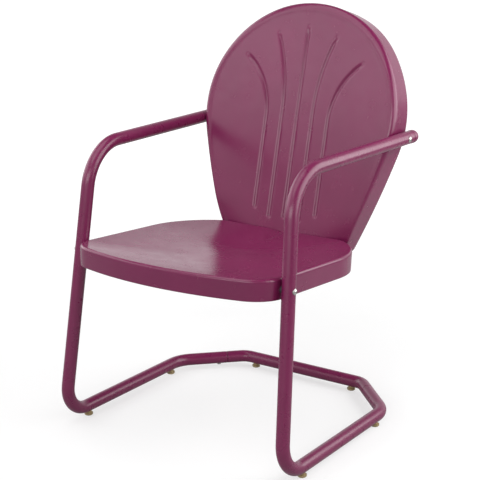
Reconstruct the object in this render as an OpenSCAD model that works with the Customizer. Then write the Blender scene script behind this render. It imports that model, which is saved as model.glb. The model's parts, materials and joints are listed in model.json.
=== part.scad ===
/* [Frame tube] */
// Outside diameter of the steel tube
tube_d = 28; // [26:0.5:30]
// Wall thickness of the steel tube
tube_wall = 1.6; // [1.2:0.1:2.2]
// Half the distance between the two runners' centre lines
runner_x = 278; // [270:1:290]
// Distance from the front leg's foot corner back to the runner's rear corner
runner_len = 412.5; // [380:0.5:450]
// Half the distance between the rear cross tube's corners
cross_x = 160.5; // [150:0.5:170]
// Distance from the runner's rear corner back to the rear cross tube
cross_back = 119; // [112:0.5:130]
// Height of the arm's centre line
arm_z = 610.5; // [590:0.5:630]
// How far the arm's front corner sits behind the foot corner
arm_front_y = 80; // [60:1:100]
// Bend radius between the arm and the front leg
arm_bend = 97; // [80:1:110]
// Bend radius between the front leg and the runner
leg_bend = 62; // [50:1:72]
// Bend radius between the runner and the slanting rear run
runner_bend = 71; // [60:1:78]
// Bend radius between the slanting rear run and the cross tube
cross_bend = 38; // [32:1:42]
// Distance from the runner's rear corner to the tube joint
joint_at = 117; // [112:1:122]
// Length of the narrowed plug inside the joint
plug_len = 34; // [28:1:38]

/* [Seat] */
// Half the width of the seat pan
seat_half_w = 242.5; // [236:0.5:250]
// Depth of the seat from its front edge to its rear edge
seat_depth = 477.3; // [450:0.1:500]
// How far the seat's front edge reaches ahead of the foot corner
seat_nose = 44; // [30:1:60]
// Height of the seat's rim at its front edge
seat_front_z = 421; // [400:0.5:440]
// Fall of the seat's rim from front to back, in degrees
seat_fall = 3.96; // [2:0.02:6]
// Radius of the bowed front edge
seat_front_r = 646; // [560:1:760]
// Radius of the front corners
seat_corner_r = 72; // [60:1:84]
// Length of the curved part of the side, up to the rear edge
seat_rear_run = 159.3; // [140:0.1:175]
// Depth of the turned-down side wall of the seat
seat_wall = 43.5; // [40:0.5:48]
// Radius of the rolled top edge of the seat
seat_roll = 6; // [4:0.5:8]
// Depth of the dish pressed into the seat
seat_dish = 9; // [5:0.5:12]
// Height of the raised middle in the front of the seat
seat_pommel = 7; // [3:0.5:9]
// Depth of the small hollow in the middle of the seat's rear edge
seat_valley = 5; // [2:0.5:6]
// Thickness of the pressed steel sheet
sheet = 1.6; // [1.2:0.1:2]

/* [Back] */
// Radius of the round top of the back
back_r = 245.4; // [240:0.1:250]
// Radius of the gently bowed sides below it
back_side_r = 2000; // [1600:50:2600]
// Height of the middle of the round top above the row of joining bolts
back_mid = 277.9; // [260:0.1:295]
// Angle below the horizontal where the round top runs into the sides
back_turn = 16; // [14:0.5:18]
// How far the back reaches below the row of joining bolts
back_tail = 20; // [18:0.5:24]
// Radius of the back's lower corners
back_corner_r = 25; // [20:1:30]
// Lean of the back from upright, in degrees
back_lean = 13.02; // [10:0.02:16]
// Depth of the back's turned-back wall
back_wall = 58.5; // [54:0.5:62]
// Radius of the rolled front edge of the back
back_roll = 10; // [8:0.5:12]
// Hollow pressed into the middle of the back
back_dish = 9.4; // [6:0.2:11]
// How far the back's lower corners are folded back
back_fold = 7; // [4:0.5:8]

/* [Fasteners and feet] */
// Thread diameter of the frame bolts
bolt_d = 6; // [5:0.5:6.5]
// Diameter of the round bolt heads
head_d = 13; // [11:0.5:14]
// Height of the round bolt heads
head_h = 3.6; // [3:0.1:4]
// Clearance on the radius of each bolt hole
bolt_clear = 0.25; // [0.2:0.05:0.4]
// Diameter of the glides
glide_d = 19; // [17:0.5:22]
// Gap between the floor and the underside of the tube
glide_h = 8.8; // [8:0.2:10]

/* [Hidden] */
$fn = 64;
paint = [0.49, 0.15, 0.36];
steel = [0.78, 0.78, 0.76];
tan_plastic = [0.62, 0.53, 0.33];
nylon = [0.12, 0.11, 0.12];
// Gap left wherever one piece bears on another
seat_gap = 0.3;
// Gap between a screw thread and the hole it is cut for
thread_gap = 0.02;

// Vector helpers
function unit(v) = v / norm(v);
function mix(a, b, t) = a + (b - a) * t;
function flip_x(p) = [-p[0], p[1], p[2]];
function flat(lists) = [for (l = lists) for (e = l) e];

// Heights, and distances behind the foot corner, that several pieces share
tube_r = tube_d / 2;
rail_z = glide_h + tube_r;
nose_y = -seat_nose;
seat_rear_y = nose_y + seat_depth;
lean_s = sin(back_lean);
lean_c = cos(back_lean);
// Height of the seat's rim above the floor at distance y
function seat_rim_z(y) = seat_front_z - (y - nose_y) * tan(seat_fall);
// The row of bolts between seat and back runs this far below the seat's rim
joint_drop = 13.2;
back_z = seat_rim_z(seat_rear_y) - joint_drop;
back_y = seat_rear_y + seat_gap - joint_drop * tan(back_lean);
back_top = back_mid + back_r;
// How much narrower the back is at the rear edge of its wall
back_draft = 2.2;
tail_y = back_y + (back_top - back_draft) * lean_s + back_wall * lean_c;
// The middle of the whole chair from front to back
mid_y = (nose_y + tail_y) / 2;

// Moves a child from foot-corner coordinates to the chair's own origin on the floor
module place() { translate([0, -mid_y, 0]) children(); }
// Places a child on the right, or mirrored on the left
module on_side(side) { if (side > 0) { children(); } else { mirror([1, 0, 0]) children(); } }
// Turns the child's X, Y and Z axes to x, y and z, and moves it to o
module aligned(o, x, y, z) {
    multmatrix([[x[0], y[0], z[0], o[0]], [x[1], y[1], z[1], o[1]], [x[2], y[2], z[2], o[2]],
        [0, 0, 0, 1]]) children();
}
// Stands the child's +Z along the direction z at o
module along(o, z) {
    x = unit(cross(abs(z[2]) < 0.9 ? [0, 0, 1] : [1, 0, 0], z));
    aligned(o, x, cross(z, x), z) children();
}
// A cylinder from a to b
module rod(a, b, d) { along(a, unit(b - a)) cylinder(h = norm(b - a), d = d); }

// Back outline in its own leaning plane: u across, s up from the row of joining bolts
side_c = [(back_r - back_side_r) * cos(back_turn), back_mid - (back_r - back_side_r) * sin(back_turn)];
// Half the width of the back at height s
function back_half(s) = s > back_mid - back_r * sin(back_turn)
    ? sqrt(pow(back_r, 2) - pow(s - back_mid, 2))
    : side_c[0] + sqrt(pow(back_side_r, 2) - pow(s - side_c[1], 2));
// Place of a point: u across, s up, and depth behind the face
function back_point(u, s, depth) = [u, back_y + s * lean_s + depth * lean_c, back_z + s * lean_c
    - depth * lean_s];
// The top bends away from the sitter above this height
bow_from = 300;
bow_r = 3350;
function back_bow(s) = s < bow_from ? 0 : pow(s - bow_from, 2) / (2 * bow_r);
// The edge stands ahead of the middle, most at this height, and no more at this distance from it
hollow_mid = 235;
hollow_reach = 250;
function back_hollow(s) = back_dish * max(0, 1 - pow((s - hollow_mid) / hollow_reach, 2));
// The lower corners fold back below this height
fold_top = 100;
function back_turned(s) = back_fold * pow(max(0, 1 - s / fold_top), 2);
// How far from the middle to the edge of the face a point is, from 0 to 1
function back_ratio(u, s) = min(1, abs(u) / max(1, back_half(s) - back_roll));
// Depth of the pressed face at a point
function back_press(u, s) = back_bow(s) - back_hollow(s) * pow(back_ratio(u, s), 2)
    + back_turned(s) * pow(back_ratio(u, s), 4);

// The arm is bolted to the back's wall at this depth behind the face's plane
arm_bolt_depth = 27.2;
arm_s = (arm_z - back_z + arm_bolt_depth * lean_s) / lean_c;
arm_bolt_y = back_point(0, arm_s, arm_bolt_depth)[1];
// The arm tube runs on past its bolt
arm_tail = 24;
arm_end_y = arm_bolt_y + arm_tail;
// Slope and outside of the back's wall at that bolt
arm_slope = (back_half(arm_s + 1) - back_half(arm_s - 1)) / 2;
draft_slope = back_draft / (back_wall - back_roll);
arm_wall_n = unit([1, draft_slope * lean_c - arm_slope * lean_s, -arm_slope * lean_c
    - draft_slope * lean_s]);
arm_edge_depth = back_roll + back_press(back_half(arm_s), arm_s) * (1 - back_roll / back_wall);
arm_flange_x = back_half(arm_s) - back_draft * (arm_bolt_depth - arm_edge_depth)
    / (back_wall - arm_edge_depth);

// The leg is bolted to the seat's wall this far below the rim
leg_bolt_drop = 23;
leg_rise = arm_front_y / (arm_z - rail_z);
leg_bolt_z = (seat_front_z + nose_y * tan(seat_fall) + leg_rise * tan(seat_fall) * rail_z - leg_bolt_drop)
    / (1 + leg_rise * tan(seat_fall));

// Room for the spacers between the tube and the pressed sheet
arm_slack = 1.2;
leg_slack = 2.4;
// The arms' distances from the middle follow from the seat's and the back's widths
arm_front_x = runner_x + (seat_half_w + leg_slack + tube_r - runner_x) * (arm_z - rail_z)
    / (leg_bolt_z - rail_z);
arm_end_x = arm_front_x + (arm_flange_x + arm_slack + tube_r - arm_front_x) * (arm_end_y - arm_front_y)
    / (arm_bolt_y - arm_front_y);

// Frame tube corners, as points on the centre line
arm_end = [arm_end_x, arm_end_y, arm_z];
arm_front = [arm_front_x, arm_front_y, arm_z];
foot_corner = [runner_x, 0, rail_z];
rail_corner = [runner_x, runner_len, rail_z];
cross_y = runner_len + cross_back;
cross_corner = [cross_x, cross_y, rail_z];
joint_dir = unit(cross_corner - rail_corner);
joint_point = rail_corner + joint_dir * joint_at;
joint_gap = 0.8;
arm_dir = unit(arm_end - arm_front);
leg_dir = unit(arm_front - foot_corner);
arm_axis = arm_front + arm_dir * (arm_bolt_y - arm_front_y) / arm_dir[1];
leg_axis = foot_corner + leg_dir * (leg_bolt_z - rail_z) / leg_dir[2];

// Angle that the centre line turns through at corner c
function turn(p, c, n) = 180 - acos(unit(p - c) * unit(n - c));
// Length taken from each straight run by a bend of radius r at corner c
function setback(p, c, n, r) = r * tan(turn(p, c, n) / 2);
// Bends are a hair thinner than the straight runs, which reach a little way into them
bend_step = 0.02;
bend_lap = 0.05;
// One bend at corner c between the points p and n
module bend(p, c, n, r, d) {
    u = unit(p - c);
    v = unit(n - c);
    centre = c + unit(u + v) * r / cos(turn(p, c, n) / 2);
    start = c + u * setback(p, c, n, r);
    x = unit(start - centre);
    z = unit(cross(v, u));
    aligned(centre, x, cross(z, x), z)
        rotate_extrude(angle = turn(p, c, n)) translate([r, 0]) circle(d = d - bend_step);
}
// A bent rod through the points, with one radius for each inner corner
module bent_rod(points, radii, d) {
    last = len(points) - 1;
    cut = [for (i = [0 : last]) i == 0 || i == last ? 0
        : setback(points[i - 1], points[i], points[i + 1], radii[i - 1]) - bend_lap];
    for (i = [0 : last - 1]) {
        dir = unit(points[i + 1] - points[i]);
        rod(points[i] + dir * cut[i], points[i + 1] - dir * cut[i + 1], d);
    }
    for (i = [1 : last - 1]) bend(points[i - 1], points[i], points[i + 1], radii[i - 1], d);
}

// Holes in the tubes
hole_d = bolt_d + 2 * bolt_clear;
screw_d = 4.8;
screw_hole_d = screw_d + 0.4;
screw_point = joint_point - joint_dir * plug_len * 0.55;
glide_stem = 6.8;
glide_hole_d = glide_stem + 0.2;
// The glides sit a little way along the straight runs
front_lead = 6;
middle_lead = 4.5;
rear_lead = 12;
front_glide_y = setback(arm_front, foot_corner, rail_corner, leg_bend) + front_lead;
middle_glide_y = runner_len - setback(foot_corner, rail_corner, cross_corner, runner_bend) - middle_lead;
rear_glide_x = cross_x - setback(rail_corner, cross_corner, flip_x(cross_corner), cross_bend) - rear_lead;

module side_tube(side) {
    path = [arm_end, arm_front, foot_corner, rail_corner, joint_point - joint_dir * joint_gap / 2];
    radii = [arm_bend, leg_bend, runner_bend];
    color(paint) place() on_side(side) difference() {
        bent_rod(path, radii, tube_d);
        bent_rod(path, radii, tube_d - 2 * tube_wall);
        rod(arm_axis - [tube_d, 0, 0], arm_axis + [tube_d, 0, 0], hole_d);
        rod(leg_axis - [tube_d, 0, 0], leg_axis + [tube_d, 0, 0], hole_d);
        for (y = [front_glide_y, middle_glide_y])
            translate([runner_x, y, 0]) cylinder(h = rail_z, d = glide_hole_d);
        translate(screw_point - [0, 0, rail_z]) cylinder(h = rail_z, d = screw_hole_d);
    }
}
module left_side_tube() { side_tube(-1); }
module right_side_tube() { side_tube(1); }

// The cross tube's ends are narrowed to plugs that slide into the side tubes
plug_clear = 0.15;
plug_d = tube_d - 2 * tube_wall - 2 * plug_clear;
plug_wall = 1.5;
shoulder = 5;
module rear_cross_tube() {
    start = joint_point + joint_dir * joint_gap / 2;
    tip = joint_point - joint_dir * plug_len;
    body = [start, cross_corner, flip_x(cross_corner), flip_x(start)];
    bore_start = start + joint_dir * shoulder;
    bore = [bore_start, cross_corner, flip_x(cross_corner), flip_x(bore_start)];
    color(paint) place() difference() {
        union() {
            bent_rod(body, [cross_bend, cross_bend], tube_d);
            for (side = [-1, 1]) on_side(side) rod(tip, start + joint_dir * 2, plug_d);
        }
        bent_rod(bore, [cross_bend, cross_bend], tube_d - 2 * tube_wall);
        for (side = [-1, 1]) on_side(side) {
            rod(tip - joint_dir, bore_start + joint_dir, plug_d - 2 * plug_wall);
            translate([rear_glide_x, cross_y, 0]) cylinder(h = rail_z, d = glide_hole_d);
            translate([screw_point[0], screw_point[1], 0]) cylinder(h = rail_z, d = screw_d);
        }
    }
}

// Domed plug that closes the arm's rear end
cap_d = tube_d + 0.8;
cap_ring = 9;
cap_plug = 16;
cap_wall = 1.6;
module arm_cap(side) {
    plug_r = tube_r - tube_wall - plug_clear;
    color(paint) place() on_side(side) along(arm_end, arm_dir) rotate_extrude() difference() {
        union() {
            square([cap_d / 2, cap_ring]);
            translate([0, cap_ring]) circle(d = cap_d);
            translate([0, -cap_plug]) square([plug_r, cap_plug + 1]);
        }
        translate([-2 * cap_d, -2 * cap_d]) square([2 * cap_d, 4 * cap_d]);
        translate([-1, -cap_plug - 1]) square([plug_r - cap_wall + 1, cap_plug + 2]);
    }
}
module left_arm_cap() { arm_cap(-1); }
module right_arm_cap() { arm_cap(1); }

// Sheet-metal skins are built from rings of points with a pole at each end.
// Faces of such a skin, for n points on each of m rings
function skin_faces(n, m) = flat([
    [for (j = [0 : n - 1]) [0, 1 + j, 1 + (j + 1) % n]],
    [for (i = [0 : m - 2]) for (j = [0 : n - 1])
        [1 + i * n + j, 1 + (i + 1) * n + j, 1 + (i + 1) * n + (j + 1) % n]],
    [for (i = [0 : m - 2]) for (j = [0 : n - 1])
        [1 + i * n + j, 1 + (i + 1) * n + (j + 1) % n, 1 + i * n + (j + 1) % n]],
    [for (j = [0 : n - 1]) [1 + m * n, 1 + (m - 1) * n + (j + 1) % n, 1 + (m - 1) * n + j]]]);
module skin(pole_a, rings, pole_b) {
    polyhedron(points = concat([pole_a], flat(rings), [pole_b]),
        faces = skin_faces(len(rings[0]), len(rings)), convexity = 6);
}
// Points on an arc, without its last point
function arc(c, r, a, b, n) = [for (i = [0 : n - 1])
    c + r * [cos(a + (b - a) * i / n), sin(a + (b - a) * i / n)]];
// The right half of a symmetric outline, and its mirror image, as one loop
function mirrored_loop(half) = concat(half,
    [for (i = [len(half) - 2 : -1 : 1]) [-half[i][0], half[i][1]]]);
// Outward normals of a loop that runs anticlockwise
function loop_normals(p) = [for (i = [0 : len(p) - 1])
    let (t = unit(p[(i + 1) % len(p)] - p[(i + len(p) - 1) % len(p)])) [t[1], -t[0]]];

// Seat plan, from the middle of the front edge round to the middle of the rear edge
seat_fillet = 25;
seat_turn_y = seat_rear_y - seat_rear_run;
// The seat's rear edge stays this far inside the edge of the back
seat_rear_inset = 10;
seat_rear_half = back_half(joint_drop / lean_c) - seat_rear_inset;
seat_taper = seat_half_w - seat_rear_half;
// Radius of the long rear corners, from the width they take up along their run
seat_rear_r = (pow(seat_taper, 2) + pow(seat_rear_run, 2)) / (2 * seat_taper);
corner_c = let (x = seat_half_w - seat_corner_r)
    [x, nose_y + seat_front_r - sqrt(pow(seat_front_r - seat_corner_r, 2) - x * x)];
corner_a = atan2(corner_c[1] - nose_y - seat_front_r, corner_c[0]);
rear_c = [seat_half_w - seat_rear_r, seat_turn_y];
fillet_c = let (y = seat_rear_y - seat_fillet)
    [rear_c[0] + sqrt(pow(seat_rear_r - seat_fillet, 2) - pow(y - seat_turn_y, 2)), y];
fillet_a = atan2(fillet_c[1] - rear_c[1], fillet_c[0] - rear_c[0]);
seat_half = concat(
    arc([0, nose_y + seat_front_r], seat_front_r, -90, corner_a, 7),
    arc(corner_c, seat_corner_r, corner_a, 0, 8),
    [for (i = [0 : 3]) [seat_half_w, mix(corner_c[1], seat_turn_y, i / 4)]],
    arc(rear_c, seat_rear_r, 0, fillet_a, 7),
    arc(fillet_c, seat_fillet, fillet_a, 90, 4),
    [for (i = [0 : 5]) [fillet_c[0] * (1 - i / 5), seat_rear_y]]);
seat_loop = mirrored_loop(seat_half);
seat_normals = loop_normals(seat_loop);
// Half the width of the seat at distance y, near its front corner
function seat_edge_x(y) = y > corner_c[1] ? seat_half_w
    : corner_c[0] + sqrt(pow(seat_corner_r, 2) - pow(y - corner_c[1], 2));
// The point of the seat that its rings run out from
seat_heart = [0, 195];
// Reach and place of the raised middle and of the small hollow
pommel_x = 62;
pommel_y = 110;
valley_x = 20;
valley_y = 120;
// A bump that rises from nothing at 0 to its full height at 1 and fades again
function bump(t) = pow(max(0, t) * exp(1 - t), 2);
function bell(t) = exp(-t * t);
// Pressed shape of the seat, a fraction f of the way from its heart to its rim
function seat_press(x, y, f) = -seat_dish * (1 - pow(f, 4))
    + seat_pommel * bell(x / pommel_x) * bump((y - nose_y) / pommel_y)
    - seat_valley * bell(x / valley_x) * bell((seat_rear_y - y) / valley_y);
// The seat's wall leans with the back where the two are bolted together
function seat_lean(y) = tan(back_lean) * pow(max(0, min(1, (y - seat_turn_y)
    / (fillet_c[1] - seat_turn_y))), 2);
// A ring of the seat, inset from the outline and dropped below the rim
function seat_ring(inset, drop) = [for (i = [0 : len(seat_loop) - 1])
    let (p = seat_loop[i], q = p - seat_normals[i] * inset, base = p - seat_normals[i] * seat_roll)
    [q[0], q[1] - drop * seat_lean(p[1]),
        seat_rim_z(q[1]) - drop + seat_press(base[0], base[1], 1) * (1 - drop / seat_wall)]];
// A ring of the seat's top face, a fraction f of the way from its heart to its rim
function seat_face(f, below) = [for (i = [0 : len(seat_loop) - 1])
    let (q = mix(seat_heart, seat_loop[i] - seat_normals[i] * seat_roll, f))
    [q[0], q[1], seat_rim_z(q[1]) + seat_press(q[0], q[1], f) - below]];
seat_fractions = [0.22, 0.45, 0.66, 0.84, 0.95, 1];
// The lower edges of the sheets are turned in and up
hem = 3.6;
hem_len = 7;
roll_steps = [0, 30, 60];
module seat_shell() {
    inner_r = seat_roll - sheet;
    last = len(seat_fractions) - 1;
    rings = concat(
        [for (f = seat_fractions) seat_face(f, 0)],
        [for (i = [2 : -1 : 0]) let (a = roll_steps[i])
            seat_ring(seat_roll * (1 - cos(a)), seat_roll * (1 - sin(a)))],
        [seat_ring(0, seat_wall), seat_ring(hem, seat_wall), seat_ring(hem, seat_wall - hem_len),
            seat_ring(sheet, seat_wall - hem_len - 1)],
        [for (a = roll_steps) seat_ring(sheet + inner_r * (1 - cos(a)), sheet + inner_r * (1 - sin(a)))],
        [for (i = [last : -1 : 0]) seat_face(seat_fractions[i], sheet)]);
    heart = [seat_heart[0], seat_heart[1],
        seat_rim_z(seat_heart[1]) + seat_press(seat_heart[0], seat_heart[1], 0)];
    color(paint) place() difference() {
        skin(heart, rings, heart - [0, 0, sheet]);
        for (side = [-1, 1]) on_side(side) translate([seat_half_w, leg_axis[1], leg_axis[2]])
            rotate([0, 90, 0]) cylinder(h = 20, d = hole_d, center = true);
        for (x = seat_back_x) on_joint(x) cylinder(h = 30, d = joint_hole_d, center = true);
    }
}

// Back outline as a loop of points
side_end = asin((-back_tail + back_corner_r - side_c[1]) / (back_side_r - back_corner_r));
tail_c = side_c + (back_side_r - back_corner_r) * [cos(side_end), sin(side_end)];
back_half_loop = concat(
    [for (i = [0 : 4]) [tail_c[0] * i / 5, -back_tail]],
    arc(tail_c, back_corner_r, -90, side_end, 5),
    arc(side_c, back_side_r, side_end, -back_turn, 6),
    arc([0, back_mid], back_r, -back_turn, 90, 18),
    [[0, back_top]]);
back_loop = mirrored_loop(back_half_loop);
back_normals = loop_normals(back_loop);
// A ring of the back, inset from the outline and set behind the rim
function back_ring(inset, depth) = [for (i = [0 : len(back_loop) - 1])
    let (q = back_loop[i] - back_normals[i] * inset, base = back_loop[i] - back_normals[i] * back_roll)
    back_point(q[0], q[1], depth + back_press(base[0], base[1]) * (1 - depth / back_wall))];
// The point of the back that the rings of its face run out from
back_heart = [0, 240];
// A ring of the back's face, a fraction f of the way from its heart to its rim
function back_face(f, below) = [for (i = [0 : len(back_loop) - 1])
    let (q = mix(back_heart, back_loop[i] - back_normals[i] * back_roll, f))
    back_point(q[0], q[1], back_press(q[0], q[1]) + below)];
back_fractions = [0.2, 0.4, 0.6, 0.78, 0.92];
back_steps = [0, 30, 60, 90];
module back_shell() {
    inner_r = back_roll - sheet;
    last = len(back_fractions) - 1;
    rings = concat(
        [for (f = back_fractions) back_face(f, 0)],
        [for (i = [3 : -1 : 0]) let (a = back_steps[i])
            back_ring(back_roll * (1 - cos(a)), back_roll * (1 - sin(a)))],
        [back_ring(back_draft, back_wall), back_ring(back_draft + hem, back_wall),
            back_ring(back_draft + hem, back_wall - hem_len),
            back_ring(back_draft + sheet, back_wall - hem_len - 1)],
        [for (a = back_steps) back_ring(sheet + inner_r * (1 - cos(a)), sheet + inner_r * (1 - sin(a)))],
        [for (i = [last : -1 : 0]) back_face(back_fractions[i], sheet)]);
    color(paint) place() difference() {
        skin(back_point(0, back_heart[1], 0), rings, back_point(0, back_heart[1], sheet));
        for (side = [-1, 1]) on_side(side) translate([arm_flange_x, arm_axis[1], arm_axis[2]])
            rotate([0, 90, 0]) cylinder(h = 24, d = hole_d, center = true);
        for (x = seat_back_x) on_joint(x) cylinder(h = 30, d = joint_hole_d, center = true);
    }
}

// Domed bolt head with a socket, standing on z = 0
module dome_head(d, h, socket) {
    difference() {
        intersection() {
            cylinder(h = h, d = d);
            translate([0, 0, h - d * 0.62]) sphere(d = d * 1.24);
        }
        translate([0, 0, h - socket / 2]) cylinder(h = socket, d = socket / cos(30), $fn = 6);
    }
}
module hex_nut(d, across, h) {
    difference() {
        cylinder(h = h, d = across / cos(30), $fn = 6);
        translate([0, 0, -1]) cylinder(h = h + 2, d = d);
    }
}
// The head's edge reaches a little way round the curved tube
head_sink = 1.4;
shank_lap = 0.6;
nut_h = 5;
nut_across = 10;
nut_r = nut_across / 2 / cos(30);
thread_end = 3;
// Bolt through a frame tube along X; the tube that its head bears on is the child
module tube_bolt(side, axis, nut_x) {
    length = axis[0] + tube_r + shank_lap - nut_x + nut_h + thread_end;
    color(steel) place() on_side(side) {
        difference() {
            translate([axis[0] + tube_r - head_sink, axis[1], axis[2]]) rotate([0, 90, 0])
                dome_head(head_d, head_h + head_sink, 4);
            children();
        }
        translate([nut_x - nut_h - thread_end, axis[1], axis[2]]) rotate([0, 90, 0])
            cylinder(h = length, d = bolt_d);
    }
}
module tube_nut(side, axis, nut_x) {
    color(steel) place() on_side(side) translate([nut_x - nut_h, axis[1], axis[2]])
        rotate([0, 90, 0]) hex_nut(bolt_d + thread_gap, nut_across, nut_h);
}
// Outer faces of the nuts, far enough in to clear the sloping or rounded sheet
arm_nut_x = arm_flange_x - sheet - seat_gap - (nut_r + sheet) * sqrt(1 - pow(arm_wall_n[0], 2))
    / arm_wall_n[0];
leg_nut_x = seat_edge_x(leg_axis[1] - nut_r - sheet) - sheet - seat_gap;
// The straight runs of tube that heads and spacers bear on, with their gap
bear_gap = 0.1;
module arm_run() { rod(arm_axis - arm_dir * 40, arm_axis + arm_dir * 23, tube_d + 2 * bear_gap); }
module leg_run() { rod(leg_axis - leg_dir * 60, leg_axis + leg_dir * 60, tube_d + 2 * bear_gap); }
module left_arm_bolt() { tube_bolt(-1, arm_axis, arm_nut_x) arm_run(); }
module right_arm_bolt() { tube_bolt(1, arm_axis, arm_nut_x) arm_run(); }
module left_leg_bolt() { tube_bolt(-1, leg_axis, leg_nut_x) leg_run(); }
module right_leg_bolt() { tube_bolt(1, leg_axis, leg_nut_x) leg_run(); }
module left_arm_nut() { tube_nut(-1, arm_axis, arm_nut_x); }
module right_arm_nut() { tube_nut(1, arm_axis, arm_nut_x); }
module left_leg_nut() { tube_nut(-1, leg_axis, leg_nut_x); }
module right_leg_nut() { tube_nut(1, leg_axis, leg_nut_x); }

// Saddle washer between the round tube and the sheet, whose outside faces along n
spacer_d = 15;
module tube_spacer(side, axis, flange_x, n) {
    color(nylon) place() on_side(side) difference() {
        rod([flange_x - 3, axis[1], axis[2]], axis, spacer_d);
        rod([flange_x - 4, axis[1], axis[2]], axis + [1, 0, 0], hole_d);
        along([flange_x + seat_gap, axis[1], axis[2]], n)
            translate([-spacer_d, -spacer_d, -spacer_d]) cube([2 * spacer_d, 2 * spacer_d, spacer_d]);
        children();
    }
}
module left_arm_spacer() { tube_spacer(-1, arm_axis, arm_flange_x, arm_wall_n) arm_run(); }
module right_arm_spacer() { tube_spacer(1, arm_axis, arm_flange_x, arm_wall_n) arm_run(); }
module left_leg_spacer() { tube_spacer(-1, leg_axis, seat_half_w, [1, 0, 0]) leg_run(); }
module right_leg_spacer() { tube_spacer(1, leg_axis, seat_half_w, [1, 0, 0]) leg_run(); }

// Bolts that join the seat's rear wall to the foot of the back
seat_back_x = [-1, 0, 1] * back_half(0) / 2;
joint_d = 5;
joint_hole_d = joint_d + 2 * bolt_clear;
joint_head_d = 10;
joint_head_h = 3;
joint_nut_h = 4;
joint_nut_across = 8;
washer_t = 1.2;
washer_d = 12;
// Depth of the washer's front face, behind which lie the seat's wall and the back's foot
washer_depth = -sheet - 2 * seat_gap - washer_t;
// Puts a child at a seat-to-back bolt, with +Z pointing out of the back's rear
module on_joint(x) {
    aligned(back_point(x, 0, 0), [1, 0, 0], [0, -lean_s, -lean_c], [0, lean_c, -lean_s]) children();
}
module seat_back_bolts() {
    foot = washer_depth - joint_nut_h - 2;
    color(steel) place() for (x = seat_back_x) on_joint(x) {
        translate([0, 0, sheet + seat_gap]) dome_head(joint_head_d, joint_head_h, 3);
        translate([0, 0, foot]) cylinder(h = sheet + seat_gap + shank_lap - foot, d = joint_d);
    }
}
module seat_back_washers() {
    color(steel) place() for (x = seat_back_x) on_joint(x) translate([0, 0, washer_depth]) difference() {
        cylinder(h = washer_t, d = washer_d);
        translate([0, 0, -1]) cylinder(h = washer_t + 2, d = joint_hole_d);
    }
}
module seat_back_nuts() {
    color(steel) place() for (x = seat_back_x) on_joint(x)
        translate([0, 0, washer_depth - joint_nut_h])
        hex_nut(joint_d + thread_gap, joint_nut_across, joint_nut_h);
}

// Screw driven up through each tube joint from below
screw_head_d = 9;
screw_head_h = 2.2;
screw_in = 9;
module joint_screw(side) {
    color(steel) place() on_side(side) translate([screw_point[0], screw_point[1], glide_h]) {
        difference() {
            translate([0, 0, -screw_head_h]) cylinder(h = screw_head_h + 2, d = screw_head_d);
            translate([0, 0, -screw_head_h - 1]) cylinder(h = 2.2, d = 3.4, $fn = 6);
            translate([0, 0, tube_r]) rod(joint_dir * -30, joint_dir * 30, tube_d + 2 * bear_gap);
        }
        translate([0, 0, -0.6]) cylinder(h = screw_in, d = screw_d - thread_gap);
    }
}
module left_joint_screw() { joint_screw(-1); }
module right_joint_screw() { joint_screw(1); }

// Glides pressed into holes under the frame
glide_edge = 5;
glide_collar = 6.6;
glide_bevel = 1.6;
module glide(x, y, dir) {
    r = glide_d / 2;
    color(tan_plastic) place() {
        difference() {
            translate([x, y, 0]) rotate_extrude() polygon([[0, 0], [r - glide_bevel, 0], [r, glide_bevel],
                [r, glide_edge], [glide_collar, glide_edge], [glide_collar, rail_z - tube_r / 2],
                [0, rail_z - tube_r / 2]]);
            translate([x, y, rail_z]) rod(-dir * 30, dir * 30, tube_d + 2 * bear_gap);
        }
        translate([x, y, glide_edge]) cylinder(h = glide_h + tube_wall + 5 - glide_edge, d = glide_stem);
    }
}
module front_left_glide() { glide(-runner_x, front_glide_y, [0, 1, 0]); }
module front_right_glide() { glide(runner_x, front_glide_y, [0, 1, 0]); }
module middle_left_glide() { glide(-runner_x, middle_glide_y, [0, 1, 0]); }
module middle_right_glide() { glide(runner_x, middle_glide_y, [0, 1, 0]); }
module rear_left_glide() { glide(-rear_glide_x, cross_y, [1, 0, 0]); }
module rear_right_glide() { glide(rear_glide_x, cross_y, [1, 0, 0]); }

left_side_tube();
right_side_tube();
rear_cross_tube();
left_arm_cap();
right_arm_cap();
seat_shell();
back_shell();
left_arm_bolt();
right_arm_bolt();
left_arm_nut();
right_arm_nut();
left_arm_spacer();
right_arm_spacer();
left_leg_bolt();
right_leg_bolt();
left_leg_nut();
right_leg_nut();
left_leg_spacer();
right_leg_spacer();
seat_back_bolts();
seat_back_nuts();
seat_back_washers();
left_joint_screw();
right_joint_screw();
front_left_glide();
front_right_glide();
middle_left_glide();
middle_right_glide();
rear_left_glide();
rear_right_glide();
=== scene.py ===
"""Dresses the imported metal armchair: pressed sheets with rolled edges, bent tubes and gloss paint."""

import json
import math

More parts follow.
